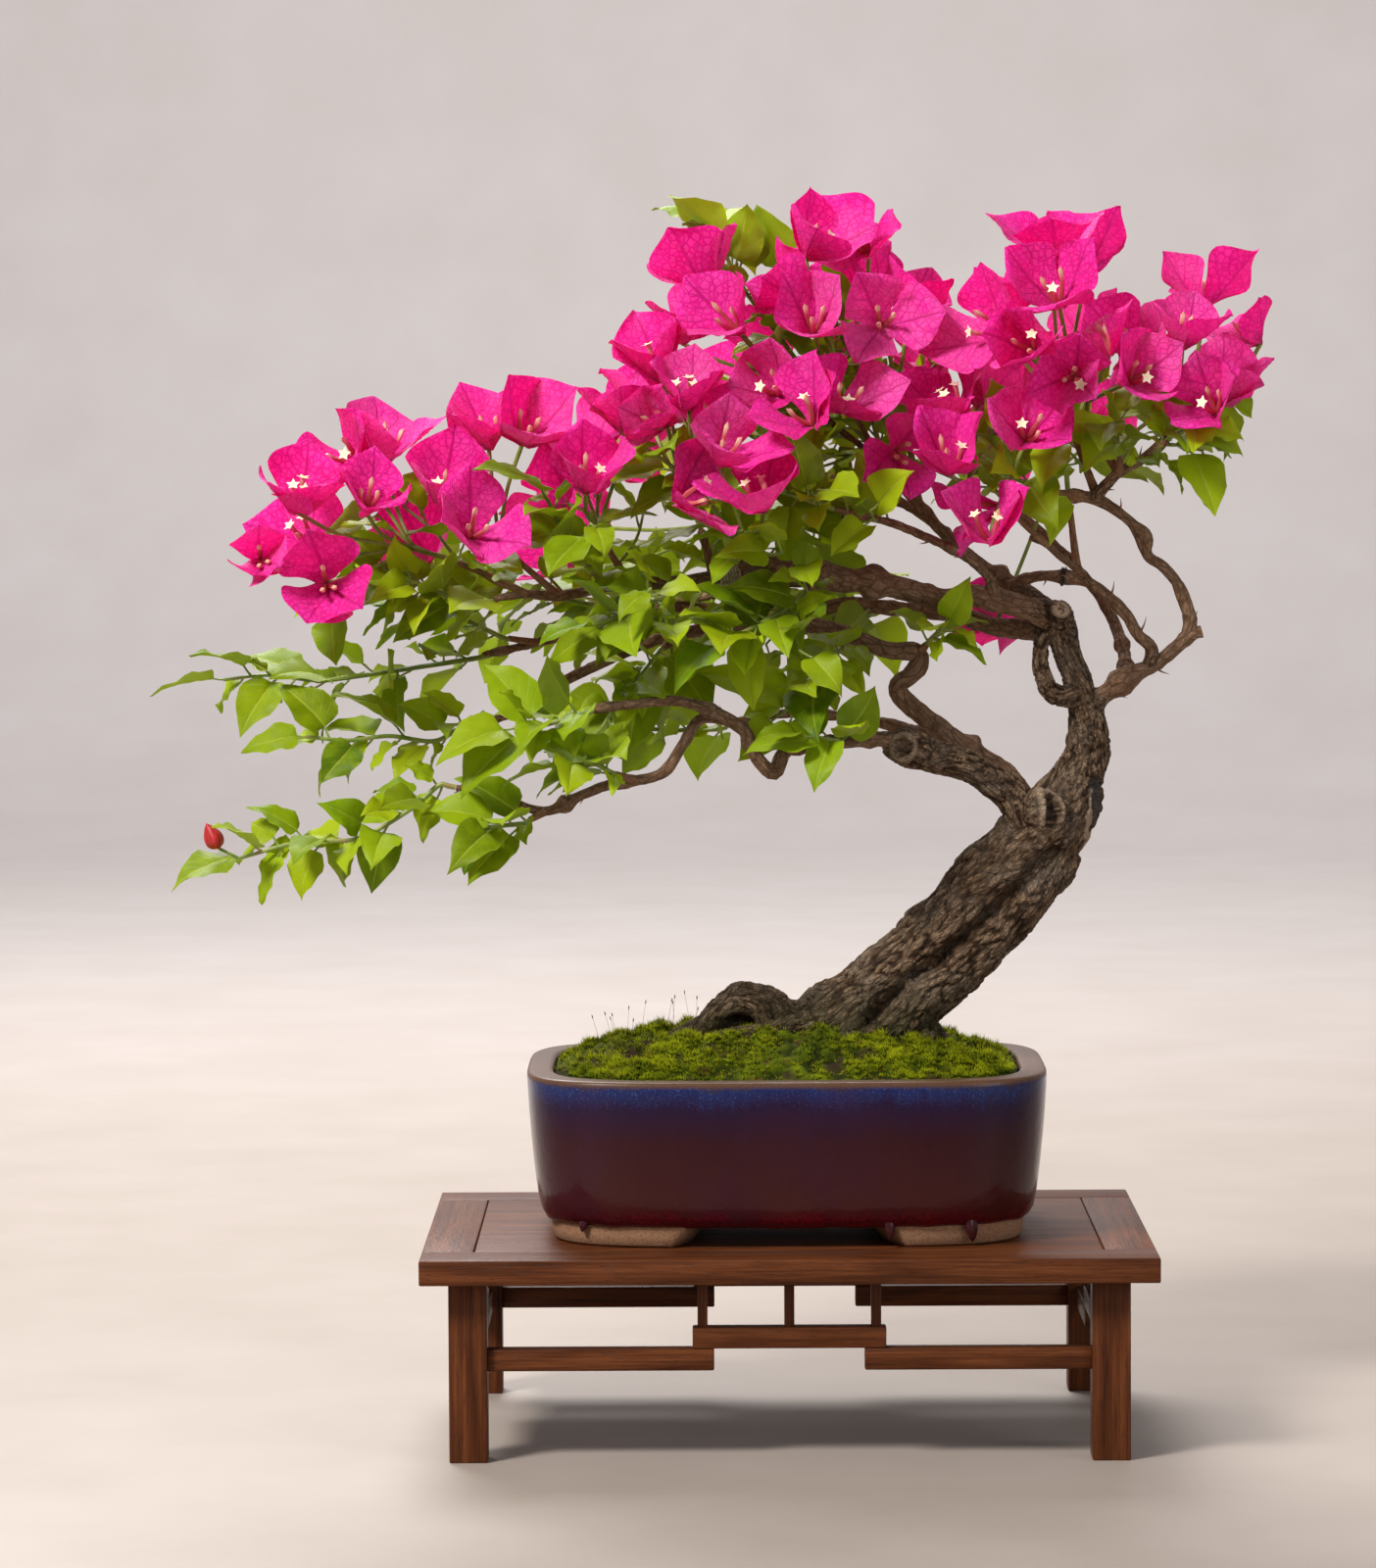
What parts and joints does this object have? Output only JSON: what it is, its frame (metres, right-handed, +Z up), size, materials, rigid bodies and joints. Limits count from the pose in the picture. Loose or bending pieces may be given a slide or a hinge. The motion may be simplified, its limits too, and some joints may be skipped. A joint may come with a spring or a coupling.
{
  "type": "bougainvillea bonsai",
  "caption": "Leaning bougainvillea bonsai with magenta bracts in a glazed rounded pot, on a low wooden display stand.",
  "frame": {"origin": "middle of the whole object's box, on the surface that the stand's legs rest on", "axes": "+Z up, +X to the right as seen from the front, +Y away from the viewer, along the stand's short side"},
  "size_m": [0.5713, 0.263, 0.6316],
  "materials": {
    "bark": "rough fissured grey-brown bark",
    "leaf": "glossy living leaf, translucent",
    "bract": "thin papery magenta bract with fine veins, translucent",
    "glaze": "glossy blue to oxblood glaze, bare clay feet and lip",
    "soil": "dark granular soil",
    "moss": "soft tufted moss",
    "walnut": "oiled walnut, satin"
  },
  "bodies": {
    "root": {"blooms_back_left": "bract", "blooms_back_right": "bract", "blooms_back_top": "bract", "blooms_centre_right": "bract", "blooms_far_left": "bract", "blooms_far_right": "bract", "blooms_hanging": "bract", "blooms_left": "bract", "blooms_left_middle": "bract", "blooms_middle_front": "bract", "blooms_middle_left": "bract", "blooms_right_stalk": "bract", "blooms_right_top": "bract", "blooms_top": "bract", "blooms_top_dark": "bract", "blooms_top_left": "bract", "leaves_back_crown": "leaf", "leaves_back_left": "leaf", "leaves_back_low": "leaf", "leaves_back_middle": "leaf", "leaves_back_right": "leaf", "leaves_branch_tip": "leaf", "leaves_crown_rise": "leaf", "leaves_front_fall": "leaf", "leaves_green_shoot": "leaf", "leaves_inner_front": "leaf", "leaves_knee": "leaf", "leaves_left_front": "leaf", "leaves_left_lower": "leaf", "leaves_left_middle": "leaf", "leaves_left_rise": "leaf", "leaves_left_upper": "leaf", "leaves_low_inner": "leaf", "leaves_low_left": "leaf", "leaves_low_middle": "leaf", "leaves_lower_front": "leaf", "leaves_pale_shoot": "leaf", "leaves_right_inner": "leaf", "leaves_right_middle": "leaf", "leaves_right_tip": "leaf", "leaves_top_front": "leaf", "leaves_top_tip": "leaf", "leaves_under_top": "leaf", "moss": "moss", "pot": "glaze", "soil": "soil", "stand_apron_back": "walnut", "stand_apron_front": "walnut", "stand_apron_left": "walnut", "stand_apron_right": "walnut", "stand_back_board": "walnut", "stand_front_board": "walnut", "stand_left_board": "walnut", "stand_leg_back_left": "walnut", "stand_leg_back_right": "walnut", "stand_leg_front_left": "walnut", "stand_leg_front_right": "walnut", "stand_panel": "walnut", "stand_right_board": "walnut", "trunk_and_branches": "bark"}
  },
  "joints": []
}
